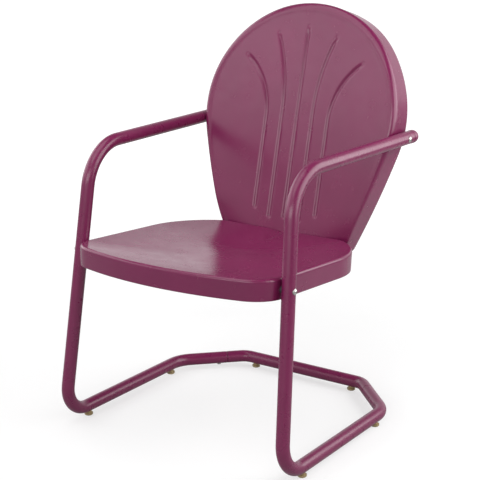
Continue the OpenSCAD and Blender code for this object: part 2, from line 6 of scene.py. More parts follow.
import bpy
import numpy as np
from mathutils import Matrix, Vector


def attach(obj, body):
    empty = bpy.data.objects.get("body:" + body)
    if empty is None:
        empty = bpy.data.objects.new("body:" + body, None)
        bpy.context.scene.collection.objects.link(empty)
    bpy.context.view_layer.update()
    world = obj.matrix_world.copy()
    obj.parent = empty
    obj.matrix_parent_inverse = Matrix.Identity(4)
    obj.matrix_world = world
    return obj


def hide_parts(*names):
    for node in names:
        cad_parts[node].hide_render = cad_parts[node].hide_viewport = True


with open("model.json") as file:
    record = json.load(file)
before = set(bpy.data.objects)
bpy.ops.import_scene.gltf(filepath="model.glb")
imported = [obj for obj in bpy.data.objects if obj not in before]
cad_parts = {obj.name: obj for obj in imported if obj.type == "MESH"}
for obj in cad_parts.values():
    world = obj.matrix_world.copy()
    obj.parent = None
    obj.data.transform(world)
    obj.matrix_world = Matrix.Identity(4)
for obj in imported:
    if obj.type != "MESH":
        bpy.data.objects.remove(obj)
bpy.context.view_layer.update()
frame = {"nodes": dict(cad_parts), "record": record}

# Sizes that the CAD source has too, in millimetres and degrees. Y counts backwards from the corner
# where the front leg meets the runner, and the chair faces -Y.
TUBE_D = 28.0            # outside of the frame tube
TUBE_WALL = 1.6
RUNNER_X = 278.0         # half the distance between the runners
RUNNER_LEN = 412.5       # from the foot corner to the runner's rear corner
CROSS_X = 160.5          # half the distance between the cross tube's corners
CROSS_BACK = 119.0       # from the runner's rear corner back to the cross tube
ARM_Z = 610.5            # height of the arm
ARM_FRONT_Y = 80.0       # how far the arm's front corner sits behind the foot corner
ARM_BEND = 97.0          # bend between arm and leg
LEG_BEND = 62.0          # bend between leg and runner
RUNNER_BEND = 71.0       # bend between runner and slanting run
CROSS_BEND = 38.0        # bend between slanting run and cross tube
JOINT_AT = 117.0         # from the runner's rear corner to the tube joint
JOINT_GAP = 0.8
GLIDE_H = 8.8
SHEET = 1.6              # thickness of both pressed sheets
SEAT_HALF_W = 242.5
SEAT_DEPTH = 477.3
SEAT_NOSE = 44.0         # how far the seat reaches ahead of the foot corner
SEAT_FRONT_Z = 421.0     # height of the rim at the front edge
SEAT_FALL = 3.96         # fall of the rim towards the rear
SEAT_FRONT_R = 646.0     # bowed front edge
SEAT_CORNER_R = 72.0     # front corners
SEAT_REAR_RUN = 159.3    # length of the side's curved rear part
SEAT_FILLET = 25.0       # rear corners
SEAT_REAR_INSET = 10.0   # how far the rear corners lie inside the back's side
SEAT_WALL = 43.5         # depth of the turned-down wall
SEAT_ROLL = 6.0          # rolled top edge
SEAT_VALLEY = 5.0        # hollow in the middle of the rear edge
BACK_R = 245.4           # round top
BACK_SIDE_R = 2000.0     # gently bowed sides
BACK_MID = 277.9         # height of the round top's middle above the joining bolts
BACK_TURN = 16.0         # angle below the horizontal where the top runs into the sides
BACK_TAIL = 20.0         # how far the back reaches below the joining bolts
BACK_CORNER_R = 25.0     # lower corners
BACK_LEAN = 13.02        # lean from upright
BACK_WALL = 58.5         # depth of the turned-back wall
BACK_ROLL = 10.0         # rolled front edge
BACK_DISH = 9.4          # hollow pressed into the middle
HOLLOW_MID = 235.0       # height of the hollow's deepest place
HOLLOW_REACH = 250.0     # how far the hollow reaches up and down from there
BOW_FROM = 300.0         # height above which the top bends away from the sitter
BOW_R = 3350.0           # radius of that bend
BACK_DRAFT = 2.2         # how much narrower the back is at the wall's rear edge
JOINT_DROP = 13.2        # how far the joining bolts lie below the seat's rim
SEAT_GAP = 0.3           # gap between seat and back
ARM_BOLT_DEPTH = 27.2    # how far the arm's bolt lies behind the back's plane
ARM_TAIL = 24.0          # the arm's run past its bolt
ARM_SLACK = 1.2          # gap between arm and back
LEG_SLACK = 2.4          # gap between leg and seat
LEG_BOLT_DROP = 23.0     # how far the leg's bolt lies below the seat's rim
CAP_D = 28.8
CAP_RING = 9.0           # length of the cap's straight ring

# Sizes that only the looks have
HEM = 3.6                # thickness of the folded edge of both sheets
HEM_LEN = 7.0            # its length
HEM_TUCK = 1.28          # how far in from the outer face its hidden end lies
HEM_STEP = 1.0           # how far that end lies past the hem
EDGE_R = 1.5             # rounding of the folded edge
RIB_HALF_W = 6.8         # half the width of a rib at the face
RIB_FLAT = 0.5           # half the width of its flat bottom
RIB_H = -3.4             # its height, below the face
RIB_FADE = 20.0          # distance from its top at which it has its full depth
RIB_FADE_FROM = -4.0     # a start before the top leaves a trace of the rib there
LIP_DEPTH = 1.0          # how far the back's face lies behind its rolled edge
LIP_WIDE = 6.0           # width of that step
LIP_FROM, LIP_TO = 20.0, 120.0        # heights between which the step comes in
FOOT_ROLL = 3.6          # rolled edge at the back's foot
FOOT_FROM, FOOT_TO = 10.0, 260.0      # heights between which it widens to the full size
CROWN_ROLL = 5.0         # how much wider it is at the crown
CROWN_FROM, CROWN_TO = 330.0, 510.0   # heights between which it widens further
FLARE = 4.6              # how far the wall's rear edge stands out at the shoulders
FLARE_AT = 52.0          # angle above the horizontal of the shoulders
FLARE_WIDE = 20.0        # spread of the flare along the round top
FOLD_DEPTH = 11.0        # how far the back's lower corners are folded back
FOLD_REACH = 80.0        # height up to which they are
BOWL = 18.0              # depth of the seat's bowl
BOWL_POWER = 2.1         # how quickly the bowl steepens towards the rim
DIP = 8.0                # depth of the hollow where the sitter sits
DIP_AT = 295.0           # its distance behind the foot corner
DIP_WIDE, DIP_LONG = 80.0, 70.0       # its spread sideways and lengthways
CREASE_WIDE = 13.0       # spread of the crease in the middle of the seat's rear edge
CREASE_ROUND = 3.0       # rounding of its bottom
CREASE_LONG = 80.0       # how far forwards it runs
SEAT_HEART_Y = 195.0     # middle of the bowl
END_EASE = 2.5           # straight length kept before a tube's cut end
PLUG_R = 12.25           # narrowed plug inside the tube joint
PLUG_HOLE_R = 7.875      # hole in its ends
PLUG_IN, PLUG_OUT = 34.0, 4.0         # how far it runs into each tube
CAP_PLUG_R, CAP_PLUG_LEN = 12.0, 10.0     # the cap's plug inside the arm

# Ribs of the back: each runs up from (low_u, low_s), straight to sweep_s, then on an arc that bends
# outwards to (top_u, top_s)
RIBS = [(0, 43, 440, 0, 470), (39.5, 40, 280, 75.5, 451), (80, 57, 262, 150, 397)]

# How finely the looks are cut: cells of each sheet's outer and inner grid, shares of the walls' depth
# and angles at which rings of points lie, and steps along the tubes in millimetres and degrees
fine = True
BACK_GRIDS = ((300, 280), (150, 140)) if fine else ((160, 150), (80, 76))
SEAT_GRIDS = ((170, 170), (110, 110)) if fine else ((110, 110), (70, 70))
BACK_GRID_TURN = 42      # angle between the round top's middle and the grid's upper corners
BACK_WALL_RINGS = (0.12, 0.3, 0.5, 0.7, 0.88, 1.0)
SEAT_WALL_RINGS = (0.1, 0.3, 0.5, 0.7, 0.9, 1.0)
ROLL_ANGLES = (75, 60, 45, 30, 15, 0)
HEM_ANGLES = (30, 60, 90)
DOME_STEP = 7.5
BEND_STEP = 2.5
RUN_STEP = 12

LEAN_S, LEAN_C = math.sin(math.radians(BACK_LEAN)), math.cos(math.radians(BACK_LEAN))
TUBE_R = TUBE_D / 2
CAP_R = CAP_D / 2
RAIL_Z = GLIDE_H + TUBE_R
NOSE_Y = -SEAT_NOSE
SEAT_REAR_Y = NOSE_Y + SEAT_DEPTH
FALL = math.tan(math.radians(SEAT_FALL))


def seat_rim_z(y):
    """Height of the seat's rim."""
    return SEAT_FRONT_Z - (y - NOSE_Y) * FALL


BACK_Z = seat_rim_z(SEAT_REAR_Y) - JOINT_DROP
BACK_Y = SEAT_REAR_Y + SEAT_GAP - JOINT_DROP * math.tan(math.radians(BACK_LEAN))
BACK_TOP = BACK_MID + BACK_R
TAIL_Y = BACK_Y + (BACK_TOP - BACK_DRAFT) * LEAN_S + BACK_WALL * LEAN_C
MID_Y = (NOSE_Y + TAIL_Y) / 2


def row_frame(points):
    """Points in millimetres from the foot corner, as metres in the row's frame."""
    return (np.asarray(points, float) - [0, MID_Y, 0]) * 0.001


# Mesh helpers
def make_mesh(name, points, quads):
    """A smooth mesh object of the chair's one body, from points in millimetres and faces."""
    mesh = bpy.data.meshes.new(name)
    mesh.from_pydata(row_frame(points).tolist(), [], [list(map(int, q)) for q in quads])
    mesh.polygons.foreach_set("use_smooth", [True] * len(mesh.polygons))
    mesh.update()
    obj = bpy.data.objects.new(name, mesh)
    bpy.context.scene.collection.objects.link(obj)
    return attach(obj, "root")


def unit(v):
    v = np.asarray(v, float)
    return v / np.linalg.norm(v)


def arc_points(c, r, a, b, n):
    """Points and outward normals on an arc from angle a to b, in degrees."""
    t = np.radians(np.linspace(a, b, n))
    n_out = np.stack([np.cos(t), np.sin(t)], 1)
    return np.asarray(c) + r * n_out, n_out


def line_points(a, b, normal, n):
    """Points on a line from a to b, all with one outward normal."""
    t = np.linspace(0, 1, n)[:, None]
    return np.asarray(a) * (1 - t) + np.asarray(b) * t, np.tile(np.asarray(normal, float), (n, 1))


def mirrored(parts):
    """The whole outline, anticlockwise, from its right half between bottom middle and top middle."""
    p = np.concatenate([q[0] for q in parts])
    n = np.concatenate([q[1] for q in parts])
    flip = np.array([-1.0, 1.0])
    return np.concatenate([p, p[::-1] * flip]), np.concatenate([n, n[::-1] * flip])


class Outline:
    """A closed outline that can be sampled by length along it."""

    def __init__(self, parts):
        p, n = mirrored(parts)
        keep = np.concatenate([[True], np.linalg.norm(np.diff(p, axis=0), axis=1) > 1e-6])
        self.p, self.n = p[keep], n[keep]
        self.at = np.concatenate([[0], np.cumsum(np.linalg.norm(np.diff(self.p, axis=0), axis=1))])
        self.length = self.at[-1]

    def sample(self, s):
        s = np.mod(s, self.length)
        p = np.stack([np.interp(s, self.at, self.p[:, k]) for k in (0, 1)], 1)
        n = np.stack([np.interp(s, self.at, self.n[:, k]) for k in (0, 1)], 1)
        return p, n / np.linalg.norm(n, axis=1)[:, None]

    def sides(self, low, high, nu, nv):
        """Lengths along the outline of a grid's rim, whose right corners lie at low and high."""
        whole = self.length
        bottom = np.linspace(-low, low, nu + 1)[:-1]
        right = np.linspace(low, high, nv + 1)[:-1]
        top = np.linspace(high, whole - high, nu + 1)[:-1]
        left = np.linspace(whole - high, whole - low, nv + 1)[:-1]
        return np.concatenate([bottom, right, top, left])


def coons(rim, nu, nv):
    """A grid of points that fills the closed rim, which starts at the lower left corner."""
    n = len(rim)
    bottom = rim[:nu + 1]
    right = rim[nu:nu + nv + 1]
    top = rim[nu + nv:2 * nu + nv + 1][::-1]
    left = rim[np.arange(2 * nu + nv, 2 * nu + 2 * nv + 1) % n][::-1]
    u = np.linspace(0, 1, nu + 1)[None, :, None]
    v = np.linspace(0, 1, nv + 1)[:, None, None]
    grid = (1 - v) * bottom[None] + v * top[None] + (1 - u) * left[:, None] + u * right[:, None]
    lower = (1 - u) * bottom[0] + u * bottom[-1]
    upper = (1 - u) * top[0] + u * top[-1]
    return grid - (1 - v) * lower - v * upper


def rim_indices(nu, nv):
    """Indices of a grid's outer points, anticlockwise from the lower left corner."""
    w = nu + 1
    bottom = list(range(nu))
    right = [nu + j * w for j in range(nv)]
    top = [nv * w + i for i in range(nu, 0, -1)]
    left = [j * w for j in range(nv, 0, -1)]
    return bottom + right + top + left


def skin_faces(nu, nv, rings, start, flip):
    """Quads of a filled grid whose rim goes on through a number of rings."""
    w = nu + 1
    faces = [(j * w + i, j * w + i + 1, (j + 1) * w + i + 1, (j + 1) * w + i)
             for j in range(nv) for i in range(nu)]
    loop = rim_indices(nu, nv)
    n = len(loop)
    for r in range(rings):
        first = w * (nv + 1) + r * n
        ring = list(range(first, first + n))
        faces += [(loop[k], ring[k], ring[(k + 1) % n], loop[(k + 1) % n]) for k in range(n)]
        loop = ring
    faces = np.array(faces) + start
    return faces[:, ::-1] if flip else faces


def smoothstep(a, b, x):
    """0 up to a, 1 from b on, and a soft rise between them."""
    t = np.clip((x - a) / (b - a), 0, 1)
    return t * t * (3 - 2 * t)


def rim_profile(roll, inner, wall, draft, steps):
    """Pairs of inset and depth that take a sheet's face round its rolled edge, along its wall and,
    on the outer side, round the hem. inner is how far this side lies inside the outer face."""
    for a in np.radians(ROLL_ANGLES):
        yield roll - (roll - inner) * math.cos(a), roll - (roll - inner) * math.sin(a)
    deep = wall - (EDGE_R if inner == 0 else 2 * EDGE_R)
    for t in steps:
        depth = roll + (deep - roll) * t
        yield inner + draft * (depth - roll) / (wall - roll), depth
    if inner == 0:
        for a in np.radians(HEM_ANGLES):
            yield draft + EDGE_R * (1 - math.cos(a)), wall - EDGE_R + EDGE_R * math.sin(a)
        for a in np.radians(HEM_ANGLES):
            yield draft + HEM - EDGE_R + EDGE_R * math.sin(a), wall - EDGE_R + EDGE_R * math.cos(a)
        yield draft + HEM, wall - HEM_LEN
        yield draft + HEM_TUCK, wall - HEM_LEN - HEM_STEP


def pressed_sheet(name, skin, grids):
    """Both sides of a pressed sheet as one object."""
    outer, outer_faces = skin(*grids[0], 0.0, 0, False)
    inner, inner_faces = skin(*grids[1], SHEET, len(outer), True)
    return make_mesh(name, np.concatenate([outer, inner]), np.concatenate([outer_faces, inner_faces]))


# Back: round top, pressed hollow, five ribs, rolled rim, turned-back wall with a hem. A place on it has
# u across, s up and the depth behind the back's plane
TURN = math.radians(BACK_TURN)
SIDE_C = np.array([0, BACK_MID]) + (BACK_R - BACK_SIDE_R) * np.array([math.cos(TURN), -math.sin(TURN)])


def back_half(s):
    """Half the back's width at height s."""
    s = np.asarray(s, float)
    top = np.sqrt(np.maximum(BACK_R ** 2 - (s - BACK_MID) ** 2, 0))
    side = SIDE_C[0] + np.sqrt(BACK_SIDE_R ** 2 - (s - SIDE_C[1]) ** 2)
    return np.where(s > BACK_MID - BACK_R * math.sin(TURN), top, side)


def back_press(u, s):
    """Depth of the pressed face behind the back's plane."""
    bow = np.where(s < BOW_FROM, 0, (s - BOW_FROM) ** 2 / (2 * BOW_R))
    hollow = BACK_DISH * np.maximum(0, 1 - ((s - HOLLOW_MID) / HOLLOW_REACH) ** 2)
    fold = FOLD_DEPTH * np.maximum(0, 1 - s / FOLD_REACH) ** 2
    ratio = np.minimum(1, np.abs(u) / np.maximum(1, back_half(s) - BACK_ROLL))
    return bow - hollow * ratio ** 2 + fold * ratio ** 4


def rib_distance(u, s, low_u, low_s, sweep_s, top_u, top_s):
    """Distance from a rib's middle line."""
    along = np.clip(s, low_s, sweep_s)
    straight = np.hypot(u - low_u, s - along)
    du, ds = top_u - low_u, top_s - sweep_s
    if abs(du) < 1e-6:
        return np.minimum(straight, np.hypot(u - low_u, s - np.clip(s, low_s, top_s)))
    r = (du * du + ds * ds) / (2 * abs(du))
    side = math.copysign(1, du)
    c = np.array([low_u + side * r, sweep_s])
    angle = np.clip(np.arctan2(s - c[1], -side * (u - c[0])), 0, math.asin(ds / r))
    near = (c[0] - side * r * np.cos(angle), c[1] + r * np.sin(angle))
    return np.minimum(straight, np.hypot(u - near[0], s - near[1]))


def rib_height(u, s):
    """Height of the ribs in front of the face, which is negative because they are pressed backwards."""
    h = np.zeros_like(u)
    for low_u, low_s, sweep_s, top_u, top_s in RIBS:
        for side in ((1, -1) if low_u else (1,)):
            d = rib_distance(u, s, side * low_u, low_s, sweep_s, side * top_u, top_s)
            fade = smoothstep(RIB_FADE_FROM, RIB_FADE, np.hypot(u - side * top_u, s - top_s))
            h = np.maximum(h, fade * (1 - smoothstep(RIB_FLAT, RIB_HALF_W, d)))
    return RIB_H * h


def back_place(u, s, depth):
    """Points of the leaning back, in millimetres from the foot corner."""
    return np.stack([u, BACK_Y + s * LEAN_S + depth * LEAN_C, BACK_Z + s * LEAN_C - depth * LEAN_S], -1)


def back_roll_at(s):
    """The rolled edge tightens towards the foot and widens towards the crown."""
    foot = (BACK_ROLL - FOOT_ROLL) * smoothstep(FOOT_FROM, FOOT_TO, s)
    return FOOT_ROLL + foot + CROWN_ROLL * smoothstep(CROWN_FROM, CROWN_TO, s)


def lip_depth(u, s):
    """The face lies a little behind the rolled edge, which ends in a crisp line."""
    edge = np.where(s > BACK_MID, BACK_R - np.hypot(u, s - BACK_MID), back_half(s) - np.abs(u))
    inside = np.maximum(0, edge - back_roll_at(s))
    return LIP_DEPTH * (1 - np.exp(-(inside / LIP_WIDE) ** 2)) * smoothstep(LIP_FROM, LIP_TO, s)


def shoulder_flare(p):
    """How far the wall's rear edge stands out, at the two shoulders of the round top."""
    angle = np.degrees(np.arctan2(p[:, 1] - BACK_MID, np.abs(p[:, 0])))
    return FLARE * np.exp(-((angle - FLARE_AT) / FLARE_WIDE) ** 2)


TAIL_A = math.asin((-BACK_TAIL + BACK_CORNER_R - SIDE_C[1]) / (BACK_SIDE_R - BACK_CORNER_R))
TAIL_C = SIDE_C + (BACK_SIDE_R - BACK_CORNER_R) * np.array([math.cos(TAIL_A), math.sin(TAIL_A)])
back_outline = Outline([
    line_points((0, -BACK_TAIL), (TAIL_C[0], -BACK_TAIL), (0, -1), 60),
    arc_points(TAIL_C, BACK_CORNER_R, -90, math.degrees(TAIL_A), 60),
    arc_points(SIDE_C, BACK_SIDE_R, math.degrees(TAIL_A), -BACK_TURN, 400),
    arc_points((0, BACK_MID), BACK_R, -BACK_TURN, 90, 900)])
BACK_LOW = TAIL_C[0] + BACK_CORNER_R * math.radians(45 + math.degrees(TAIL_A) / 2)
BACK_HIGH = back_outline.length / 2 - BACK_R * math.radians(BACK_GRID_TURN)


def back_skin(nu, nv, inner, start, flip):
    """One side of the back's sheet."""
    p, n = back_outline.sample(back_outline.sides(BACK_LOW, BACK_HIGH, nu, nv))
    roll, flare = back_roll_at(p[:, 1]), shoulder_flare(p)
    base = p - n * BACK_ROLL
    rim_press = back_press(base[:, 0], base[:, 1])
    grid = coons(p - n * roll[:, None], nu, nv)
    u, s = grid[..., 0], grid[..., 1]
    face = back_press(u, s) + lip_depth(u, s) - rib_height(u, s) + inner
    points = [back_place(u, s, face).reshape(-1, 3)]
    for inset, depth in rim_profile(roll, inner, BACK_WALL, BACK_DRAFT, BACK_WALL_RINGS):
        q = p - n * (inset - flare * np.clip(depth / BACK_WALL, 0, 1))[:, None]
        points.append(back_place(q[:, 0], q[:, 1], depth + rim_press * (1 - depth / BACK_WALL)))
    return np.concatenate(points), skin_faces(nu, nv, len(points) - 1, start, flip)


back = pressed_sheet("back_sheet", back_skin, BACK_GRIDS)
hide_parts("back_shell")

# Seat: bowl-shaped pan with a creased rear edge, rolled rim and turned-down wall
SEAT_TURN_Y = SEAT_REAR_Y - SEAT_REAR_RUN
SEAT_TAPER = SEAT_HALF_W - (float(back_half(JOINT_DROP / LEAN_C)) - SEAT_REAR_INSET)
SEAT_REAR_R = (SEAT_TAPER ** 2 + SEAT_REAR_RUN ** 2) / (2 * SEAT_TAPER)
CORNER_X = SEAT_HALF_W - SEAT_CORNER_R
CORNER_RISE = math.sqrt((SEAT_FRONT_R - SEAT_CORNER_R) ** 2 - CORNER_X ** 2)
CORNER_C = np.array([CORNER_X, NOSE_Y + SEAT_FRONT_R - CORNER_RISE])
CORNER_A = math.degrees(math.atan2(CORNER_C[1] - NOSE_Y - SEAT_FRONT_R, CORNER_C[0]))
REAR_C = np.array([SEAT_HALF_W - SEAT_REAR_R, SEAT_TURN_Y])
FILLET_Y = SEAT_REAR_Y - SEAT_FILLET
FILLET_REACH = math.sqrt((SEAT_REAR_R - SEAT_FILLET) ** 2 - (FILLET_Y - SEAT_TURN_Y) ** 2)
FILLET_C = np.array([REAR_C[0] + FILLET_REACH, FILLET_Y])
FILLET_A = math.degrees(math.atan2(FILLET_C[1] - REAR_C[1], FILLET_C[0] - REAR_C[0]))
seat_outline = Outline([
    arc_points((0, NOSE_Y + SEAT_FRONT_R), SEAT_FRONT_R, -90, CORNER_A, 300),
    arc_points(CORNER_C, SEAT_CORNER_R, CORNER_A, 0, 200),
    line_points((SEAT_HALF_W, CORNER_C[1]), (SEAT_HALF_W, SEAT_TURN_Y), (1, 0), 60),
    arc_points(REAR_C, SEAT_REAR_R, 0, FILLET_A, 300),
    arc_points(FILLET_C, SEAT_FILLET, FILLET_A, 90, 80),
    line_points((FILLET_C[0], SEAT_REAR_Y), (0, SEAT_REAR_Y), (0, 1), 60)])
SEAT_LOW = SEAT_FRONT_R * math.radians(90 + CORNER_A) + SEAT_CORNER_R * math.radians(-CORNER_A) * 0.5
SEAT_HIGH = seat_outline.length / 2 - FILLET_C[0] - SEAT_FILLET * math.radians(90 - FILLET_A) * 0.5
rim_p, rim_n = seat_outline.sample(np.linspace(0, seat_outline.length, 2000, endpoint=False))
rim_v = rim_p - rim_n * SEAT_ROLL - [0.0, SEAT_HEART_Y]
rim_order = np.argsort(np.arctan2(rim_v[:, 1], rim_v[:, 0]))
rim_angle = np.arctan2(rim_v[:, 1], rim_v[:, 0])[rim_order]
rim_reach = np.hypot(rim_v[:, 0], rim_v[:, 1])[rim_order]


def seat_fraction(x, y):
    """How far a point is on its way from the seat's heart to its rim."""
    reach = np.interp(np.arctan2(y - SEAT_HEART_Y, x), rim_angle, rim_reach, period=2 * math.pi)
    return np.minimum(1, np.hypot(x, y - SEAT_HEART_Y) / reach)


def seat_press(x, y, f):
    """Height of the pressed face above the rim's plane."""
    dip = np.exp(-(x / DIP_WIDE) ** 2 - ((y - DIP_AT) / DIP_LONG) ** 2)
    across = (CREASE_ROUND - np.hypot(x, CREASE_ROUND)) / CREASE_WIDE
    crease = np.exp(across - ((SEAT_REAR_Y - y) / CREASE_LONG) ** 2)
    return -BOWL * (1 - f ** BOWL_POWER) - DIP * dip - SEAT_VALLEY * crease


def seat_skin(nu, nv, inner, start, flip):
    """One side of the seat's sheet. Its wall leans with the back towards the rear."""
    p, n = seat_outline.sample(seat_outline.sides(SEAT_LOW, SEAT_HIGH, nu, nv))
    base = p - n * SEAT_ROLL
    press = seat_press(base[:, 0], base[:, 1], 1.0)
    lean = LEAN_S / LEAN_C * np.clip((p[:, 1] - SEAT_TURN_Y) / (FILLET_C[1] - SEAT_TURN_Y), 0, 1) ** 2
    grid = coons(base, nu, nv)
    x, y = grid[..., 0], grid[..., 1]
    z = seat_rim_z(y) + seat_press(x, y, seat_fraction(x, y)) - inner
    points = [np.stack([x, y, z], -1).reshape(-1, 3)]
    for inset, drop in rim_profile(SEAT_ROLL, inner, SEAT_WALL, 0.0, SEAT_WALL_RINGS):
        q = p - n * inset
        z = seat_rim_z(q[:, 1]) - drop + press * (1 - drop / SEAT_WALL)
        points.append(np.stack([q[:, 0], q[:, 1] - drop * lean, z], -1))
    return np.concatenate(points), skin_faces(nu, nv, len(points) - 1, start, flip)


seat = pressed_sheet("seat_sheet", seat_skin, SEAT_GRIDS)
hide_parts("seat_shell")

# Tubes: where the arm and the leg pass the sheets that they are bolted to
arm_s = (ARM_Z - BACK_Z + ARM_BOLT_DEPTH * LEAN_S) / LEAN_C
arm_bolt_y = BACK_Y + arm_s * LEAN_S + ARM_BOLT_DEPTH * LEAN_C
arm_end_y = arm_bolt_y + ARM_TAIL
arm_edge = BACK_ROLL + float(back_press(back_half(arm_s), arm_s)) * (1 - BACK_ROLL / BACK_WALL)
arm_flange_x = float(back_half(arm_s)) - BACK_DRAFT * (ARM_BOLT_DEPTH - arm_edge) / (BACK_WALL - arm_edge)
leg_rise = ARM_FRONT_Y / (ARM_Z - RAIL_Z)
leg_bolt_z = SEAT_FRONT_Z + NOSE_Y * FALL + leg_rise * FALL * RAIL_Z - LEG_BOLT_DROP
leg_bolt_z /= 1 + leg_rise * FALL
leg_share = (ARM_Z - RAIL_Z) / (leg_bolt_z - RAIL_Z)
arm_share = (arm_end_y - ARM_FRONT_Y) / (arm_bolt_y - ARM_FRONT_Y)
arm_front_x = RUNNER_X + (SEAT_HALF_W + LEG_SLACK + TUBE_R - RUNNER_X) * leg_share
arm_end_x = arm_front_x + (arm_flange_x + ARM_SLACK + TUBE_R - arm_front_x) * arm_share
arm_end = np.array([arm_end_x, arm_end_y, ARM_Z])
arm_front = np.array([arm_front_x, ARM_FRONT_Y, ARM_Z])
foot_corner = np.array([RUNNER_X, 0, RAIL_Z])
rail_corner = np.array([RUNNER_X, RUNNER_LEN, RAIL_Z])
cross_corner = np.array([CROSS_X, RUNNER_LEN + CROSS_BACK, RAIL_Z])
joint_dir = unit(cross_corner - rail_corner)
joint_point = rail_corner + joint_dir * JOINT_AT
arm_dir = unit(arm_end - arm_front)


def centre_line(points, radii):
    """Points along a bent line: close together in its bends, further apart on its straight runs."""
    line = [np.asarray(points[0], float)]
    for i in range(1, len(points) - 1):
        a, c, b = points[i - 1], points[i], points[i + 1]
        u, v = unit(a - c), unit(b - c)
        half = math.acos(float(np.clip(u @ v, -1, 1))) / 2
        centre = c + unit(u + v) * radii[i - 1] / math.sin(half)
        start, end = c + u * radii[i - 1] / math.tan(half), c + v * radii[i - 1] / math.tan(half)
        sweep = math.pi - 2 * half
        steps = max(8, int(math.degrees(sweep) / BEND_STEP))
        x = unit(start - centre)
        y = unit(np.cross(np.cross(start - centre, end - centre), start - centre))
        for k in range(steps + 1):
            t = sweep * k / steps
            line.append(centre + radii[i - 1] * (x * math.cos(t) + y * math.sin(t)))
    line.append(np.asarray(points[-1], float))
    full = [line[0]]
    for a, b in zip(line[:-1], line[1:]):
        n = max(1, int(np.linalg.norm(b - a) / RUN_STEP))
        full += [a + (b - a) * k / n for k in range(1, n + 1)]
    return np.array(full)


def ring_faces(rings, sides):
    """Quads between rings of points, each numbered after the last."""
    faces = []
    for low in range(0, (rings - 1) * sides, sides):
        high = low + sides
        for k in range(sides):
            after = (k + 1) % sides
            faces.append((low + k, low + after, high + after, high + k))
    return faces


def swept(line, profile, radius=TUBE_R, sides=72):
    """A round tube along a line. profile lists the closing rings of both ends as (distance past the
    line's end, radius)."""
    tangents = np.gradient(line, axis=0)
    tangents /= np.linalg.norm(tangents, axis=1)[:, None]
    tangents[0], tangents[-1] = unit(line[1] - line[0]), unit(line[-1] - line[-2])
    rings = [(line[0] - tangents[0] * d, tangents[0], r) for d, r in reversed(profile)]
    rings += [(line[0] + tangents[0] * END_EASE, tangents[0], radius)]
    rings += [(p, t, radius) for p, t in zip(line[1:-1], tangents[1:-1])]
    rings += [(line[-1] - tangents[-1] * END_EASE, tangents[-1], radius)]
    rings += [(line[-1] + tangents[-1] * d, tangents[-1], r) for d, r in profile]
    x = unit(np.cross(rings[0][1], [0.3, 0.2, 0.9]))
    a = np.linspace(0, 2 * math.pi, sides, endpoint=False)[:, None]
    points = []
    for centre, t, r in rings:
        x = unit(x - t * (x @ t))
        y = np.cross(t, x)
        points.append(centre + r * (np.cos(a) * x + np.sin(a) * y))
    return np.concatenate(points), np.array(ring_faces(len(rings), sides))


def tube_piece(name, points, faces, side=1):
    """A painted piece of the frame on the right, or mirrored on the left."""
    piece = make_mesh(name, points * [side, 1, 1], faces if side > 0 else faces[:, ::-1])
    painted.append(piece)
    return piece


CUT_END = [(-1.7, TUBE_R), (-0.9, TUBE_R), (-0.35, TUBE_R - 0.25), (0, TUBE_R - 0.8),
           (0, TUBE_R - TUBE_WALL), (-8, TUBE_R - TUBE_WALL)]
painted = []
path = [arm_end, arm_front, foot_corner, rail_corner, joint_point - joint_dir * JOINT_GAP / 2]
points, faces = swept(centre_line(path, [ARM_BEND, LEG_BEND, RUNNER_BEND]), CUT_END)
for side, word in ((-1, "left"), (1, "right")):
    tube = tube_piece(word + "_tube", points, faces, side)
    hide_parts(word + "_side_tube")

mirror_x = np.array([-1.0, 1, 1])
start = joint_point + joint_dir * JOINT_GAP / 2
path = [start, cross_corner, cross_corner * mirror_x, start * mirror_x]
points, faces = swept(centre_line(path, [CROSS_BEND, CROSS_BEND]), CUT_END)
cross = tube_piece("cross_tube", points, faces)
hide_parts("rear_cross_tube")
plug_line = centre_line([joint_point - joint_dir * PLUG_IN, joint_point + joint_dir * PLUG_OUT], [])
points, faces = swept(plug_line, [(0, PLUG_HOLE_R)], PLUG_R)
for side, word in ((1, "right"), (-1, "left")):
    tube_piece("cross_plug_" + word, points, faces, side)


def turned(name, origin, axis, profile, sides=64):
    """A turned piece from (radius, distance along the axis) pairs."""
    z = unit(axis)
    x = unit(np.cross([0, 0, 1.0] if abs(z[2]) < 0.9 else [1.0, 0, 0], z))
    y = np.cross(z, x)
    a = np.linspace(0, 2 * math.pi, sides, endpoint=False)[:, None]
    points = np.concatenate([origin + r * (np.cos(a) * x + np.sin(a) * y) + d * z for r, d in profile])
    return make_mesh(name, points, ring_faces(len(profile), sides))


dome_angles = np.radians(np.arange(DOME_STEP, 90, DOME_STEP))
cap_profile = [(CAP_PLUG_R, -CAP_PLUG_LEN), (CAP_PLUG_R, -0.1), (CAP_R - 0.7, -0.1), (CAP_R - 0.3, 0.1),
               (CAP_R - 0.05, 0.5), (CAP_R, 1.0), (CAP_R, CAP_RING)]
cap_profile += [(CAP_R * math.cos(a), CAP_RING + CAP_R * math.sin(a)) for a in dome_angles]
cap_profile += [(0.05, CAP_RING + CAP_R)]
for side, word in ((-1, "left"), (1, "right")):
    cap = turned(word + "_cap", arm_end * [side, 1, 1], arm_dir * [side, 1, 1], cap_profile)
    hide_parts(word + "_arm_cap")
    painted.append(cap)


# Materials
def srgb(r, g, b):
    """A colour from 0 to 255 steps as linear values."""
    def one(c):
        c /= 255
        return c / 12.92 if c <= 0.04045 else ((c + 0.055) / 1.055) ** 2.4
    return one(r), one(g), one(b), 1.0


def grey(level):
    return level, level, level, 1.0


def scaled(colour, k):
    """A colour made lighter or darker."""
    return tuple(min(1.0, c * k) for c in colour[:3]) + (1.0,)


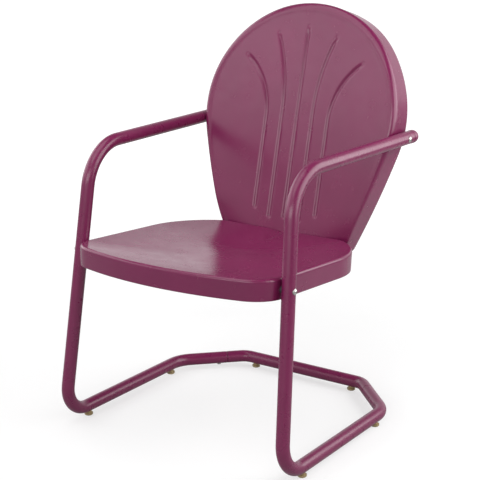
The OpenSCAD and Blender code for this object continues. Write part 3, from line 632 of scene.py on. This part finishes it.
class Nodes:
    """A node tree with short ways to add nodes and links."""

    def __init__(self, tree):
        self.nodes, self.links = tree.nodes, tree.links

    def add(self, kind, **values):
        node = self.nodes.new(kind)
        for key, value in values.items():
            setattr(node, key, value)
        return node

    def plug(self, value, socket):
        """Links an output to a socket, or sets the socket to a plain value."""
        if isinstance(value, bpy.types.NodeSocket):
            self.links.new(value, socket)
        else:
            socket.default_value = value

    def math(self, operation, a, b):
        node = self.add("ShaderNodeMath", operation=operation)
        self.plug(a, node.inputs[0])
        self.plug(b, node.inputs[1])
        return node.outputs[0]

    def ramp(self, value, low, high, out_low, out_high):
        node = self.add("ShaderNodeMapRange", clamp=True)
        for key, x in (("From Min", low), ("From Max", high), ("To Min", out_low), ("To Max", out_high)):
            node.inputs[key].default_value = x
        self.links.new(value, node.inputs["Value"])
        return node.outputs["Result"]

    def seen_or_mirrored(self, mirrored_level):
        """1 for what the camera sees, mirrored_level for what gloss mirrors and 0 for the rest."""
        ray = self.add("ShaderNodeLightPath").outputs
        level = self.math("MULTIPLY", ray["Is Glossy Ray"], mirrored_level)
        for kind in ("Is Camera Ray", "Is Transmission Ray"):
            level = self.math("MAXIMUM", level, ray[kind])
        return level


class Shader(Nodes):
    """A material's nodes around its Principled BSDF."""

    def __init__(self, name):
        self.material = bpy.data.materials.new(name)
        self.material.use_nodes = True
        super().__init__(self.material.node_tree)
        self.bsdf = self.nodes["Principled BSDF"]
        self.where = self.add("ShaderNodeTexCoord").outputs["Object"]

    def noise(self, scale, detail):
        node = self.add("ShaderNodeTexNoise")
        for key, value in (("Scale", scale), ("Detail", detail), ("Vector", self.where)):
            self.plug(value, node.inputs[key])
        return node.outputs["Fac"]

    def patches(self, scale, detail, out_low, out_high, low=0.3):
        """Soft patches of noise, whose values from low to 0.7 are stretched to a new range."""
        return self.ramp(self.noise(scale, detail), low, 0.7, out_low, out_high)

    def mix(self, share, a, b):
        node = self.add("ShaderNodeMix", data_type="RGBA")
        self.plug(share, node.inputs["Factor"])
        self.plug(a, node.inputs[6])
        self.plug(b, node.inputs[7])
        return node.outputs[2]

    def bump(self, height, distance, strength):
        node = self.add("ShaderNodeBump")
        for key, value in (("Distance", distance), ("Strength", strength), ("Height", height)):
            self.plug(value, node.inputs[key])
        return node.outputs["Normal"]

    def set(self, **values):
        """Gives the shader's own sockets plain values or outputs."""
        for key, value in values.items():
            self.plug(value, self.bsdf.inputs[key.replace("_", " ")])


PLUM = srgb(116, 30, 75)
ZINC_DARK, ZINC_LIGHT = (0.40, 0.39, 0.37, 1), (0.56, 0.55, 0.53, 1)
NYLON_BLACK = (0.03, 0.028, 0.03, 1)
GLIDE_TAN = srgb(172, 152, 112)
FLOOR_DARK, FLOOR_LIGHT = grey(0.38), grey(0.4)


def paint(name, colour, rough, peel):
    """Gloss powder coat: faint mottling, orange peel and a painted highlight that makes convex edges a
    little lighter.
    """
    m = Shader(name)
    mottle = m.mix(m.patches(9, 3, 0, 1), scaled(colour, 0.95), scaled(colour, 1.06))
    edge = m.add("ShaderNodeNewGeometry").outputs["Pointiness"]
    # Painted highlight: convex edges, found by pointiness, mix up to 0.3 towards a colour 1.9 times as
    # light
    m.set(Base_Color=m.mix(m.ramp(edge, 0.54, 0.66, 0, 0.3), mottle, scaled(colour, 1.9)),
          IOR=1.5,
          Roughness=m.patches(35, 3, rough - 0.03, rough + 0.04),
          Normal=m.bump(m.noise(220, 1), 0.00012, peel))
    return m.material


def steel(name):
    """Zinc plate with fine turning marks."""
    m = Shader(name)
    m.set(Base_Color=m.mix(m.patches(260, 3, 0, 1, low=0.35), ZINC_DARK, ZINC_LIGHT),
          Metallic=1.0,
          Roughness=m.patches(900, 2, 0.2, 0.38),
          Normal=m.bump(m.noise(1600, 2), 0.0001, 0.3))
    return m.material


def plastic(name, colour, rough):
    """Moulded plastic with a faint grain."""
    m = Shader(name)
    m.set(Base_Color=m.mix(m.patches(120, 3, 0, 1), scaled(colour, 0.88), scaled(colour, 1.1)),
          Roughness=m.patches(300, 2, rough - 0.06, rough + 0.06),
          Normal=m.bump(m.noise(1500, 3), 0.0002, 0.35))
    return m.material


finishes = {
    "sheet_paint": paint("sheet_paint", PLUM, 0.24, 0.10),
    "frame_paint": paint("frame_paint", PLUM, 0.28, 0.14),
    "steel": steel("steel"),
    "nylon": plastic("nylon", NYLON_BLACK, 0.5),
    "glide": plastic("glide", GLIDE_TAN, 0.42)}
slots = {row["node"]: row["material_slot"] for row in frame["record"]["subparts"]}
for name, obj in frame["nodes"].items():
    obj.data.materials.clear()
    obj.data.materials.append(finishes[slots[name]])
for obj in (back, seat):
    obj.data.materials.append(finishes["sheet_paint"])
for obj in painted:
    obj.data.materials.append(finishes["frame_paint"])

# Floor, in metres: its glow makes it white far from the chair, dim where gloss mirrors it, and gives
# surfaces no light
FLOOR_HALF = 20.0
FLOOR_IN_GLOSS = 0.22
FLOOR_NEAR, FLOOR_FAR = 0.7, 3.0              # distances from the chair's middle
FLOOR_GLOW_NEAR, FLOOR_GLOW_FAR = 0.6, 1.0    # glow at these distances
corners = [(x * FLOOR_HALF, y * FLOOR_HALF, 0) for x, y in ((-1, -1), (1, -1), (1, 1), (-1, 1))]
floor_mesh = bpy.data.meshes.new("floor")
floor_mesh.from_pydata(corners, [], [(0, 1, 2, 3)])
floor = bpy.data.objects.new("floor", floor_mesh)
bpy.context.scene.collection.objects.link(floor)
matt = Shader("floor_white")
away = matt.add("ShaderNodeVectorMath", operation="LENGTH")
matt.plug(matt.where, away.inputs[0])
glow = matt.ramp(away.outputs["Value"], FLOOR_NEAR, FLOOR_FAR, FLOOR_GLOW_NEAR, FLOOR_GLOW_FAR)
matt.set(Base_Color=matt.mix(matt.patches(2, 2, 0, 1), FLOOR_DARK, FLOOR_LIGHT),
         Roughness=0.9,
         Specular_IOR_Level=0.1,
         Emission_Color=grey(1),
         Emission_Strength=matt.math("MULTIPLY", matt.seen_or_mirrored(FLOOR_IN_GLOSS), glow))
floor_mesh.materials.append(matt.material)

# World: white around the horizon. In gloss the ceiling is dim, and so is the horizon on the studio's
# open side. Heights and nearness are a direction's Z and its cosine to the open side's middle.
WORLD_LEVEL = 0.24
CEILING_FROM, CEILING_TO, CEILING_LEVEL = 0.33, 0.70, 0.1
OPEN_SIDE, OPEN_FROM, OPEN_TO, OPEN_DIM = 54.0, 0.70, 0.92, 0.9
OPEN_LOW, OPEN_HIGH = 0.06, 0.2


def direction(azimuth, elevation):
    """From the chair outwards: azimuth 0 is in front of it and 90 on the image's right."""
    a, e = math.radians(azimuth), math.radians(elevation)
    return Vector((math.sin(a) * math.cos(e), -math.cos(a) * math.cos(e), math.sin(e)))


world = bpy.data.worlds.new("studio")
bpy.context.scene.world = world
world.use_nodes = True
sky = Nodes(world.node_tree)
sky.nodes.clear()


def background(strength):
    """White light from everywhere."""
    node = sky.add("ShaderNodeBackground")
    sky.plug(grey(1), node.inputs["Color"])
    sky.plug(strength, node.inputs["Strength"])
    return node.outputs[0]


towards = sky.add("ShaderNodeTexCoord").outputs["Generated"]
split = sky.add("ShaderNodeSeparateXYZ")
sky.plug(towards, split.inputs[0])
height = split.outputs["Z"]
facing = sky.add("ShaderNodeVectorMath", operation="DOT_PRODUCT")
sky.plug(towards, facing.inputs[0])
sky.plug(direction(OPEN_SIDE, 0), facing.inputs[1])
open_share = sky.math("MULTIPLY", sky.ramp(facing.outputs["Value"], OPEN_FROM, OPEN_TO, 0.0, OPEN_DIM),
                      sky.ramp(height, OPEN_LOW, OPEN_HIGH, 1.0, 0.0))
in_gloss = sky.math("MULTIPLY", sky.ramp(height, CEILING_FROM, CEILING_TO, 1.0, CEILING_LEVEL),
                    sky.ramp(open_share, 0.0, 1.0, 1.0, 0.0))
ray = sky.add("ShaderNodeLightPath").outputs
shown = sky.math("MAXIMUM", ray["Is Camera Ray"], ray["Is Transmission Ray"])
choose = sky.add("ShaderNodeMixShader")
sky.plug(sky.math("MAXIMUM", shown, ray["Is Glossy Ray"]), choose.inputs[0])
sky.plug(background(WORLD_LEVEL), choose.inputs[1])
sky.plug(background(sky.seen_or_mirrored(in_gloss)), choose.inputs[2])
sky.plug(choose.outputs[0], sky.add("ShaderNodeOutputWorld").inputs["Surface"])

# Lamps, in metres and degrees, all turned to one place in the chair
AIM = Vector((0, 0, 0.45))


def softbox(name, azimuth, elevation, distance, width, height, radiance):
    """A square soft light whose face is as bright as radiance, where 1 is white."""
    data = bpy.data.lights.new(name, "AREA")
    data.shape, data.size, data.size_y = "RECTANGLE", width, height
    data.energy = radiance * math.pi * width * height
    obj = bpy.data.objects.new(name, data)
    outwards = direction(azimuth, elevation)
    obj.location = AIM + outwards * distance
    obj.rotation_euler = (-outwards).to_track_quat("-Z", "Y").to_euler()
    obj.visible_camera = False
    bpy.context.scene.collection.objects.link(obj)


softbox("top", -25, 74, 1.9, 1.8, 1.8, 1.9)
softbox("key", 4, 50, 3.2, 2.0, 1.3, 1.0)
softbox("key_left", -44, 28, 3.2, 1.9, 1.5, 1.5)
softbox("front_band", 14, 16, 3.2, 2.7, 1.1, 3.6)
softbox("side_left", -88, 22, 3.0, 2.6, 2.2, 1.7)
softbox("rim_right", 116, 23, 1.5, 1.9, 1.3, 3.2)

# Camera, fitted to the photograph; its places are in millimetres, from the foot corner
CAMERA_AT = (1511.6, -1957.8, 1147.8)
CAMERA_AIM = (-9.6, 280.1, 397.2)
LENS, SENSOR = 97.742, 36.0
camera_at, camera_aim = Vector(row_frame(CAMERA_AT)), Vector(row_frame(CAMERA_AIM))
camera = bpy.data.objects.new("camera", bpy.data.cameras.new("camera"))
bpy.context.scene.collection.objects.link(camera)
camera.data.sensor_width = SENSOR
camera.data.lens = LENS
camera.location = camera_at
camera.rotation_mode = "QUATERNION"
camera.rotation_quaternion = (camera_aim - camera_at).to_track_quat("-Z", "Y")
bpy.context.scene.camera = camera
bpy.context.scene.view_settings.view_transform = "Standard"
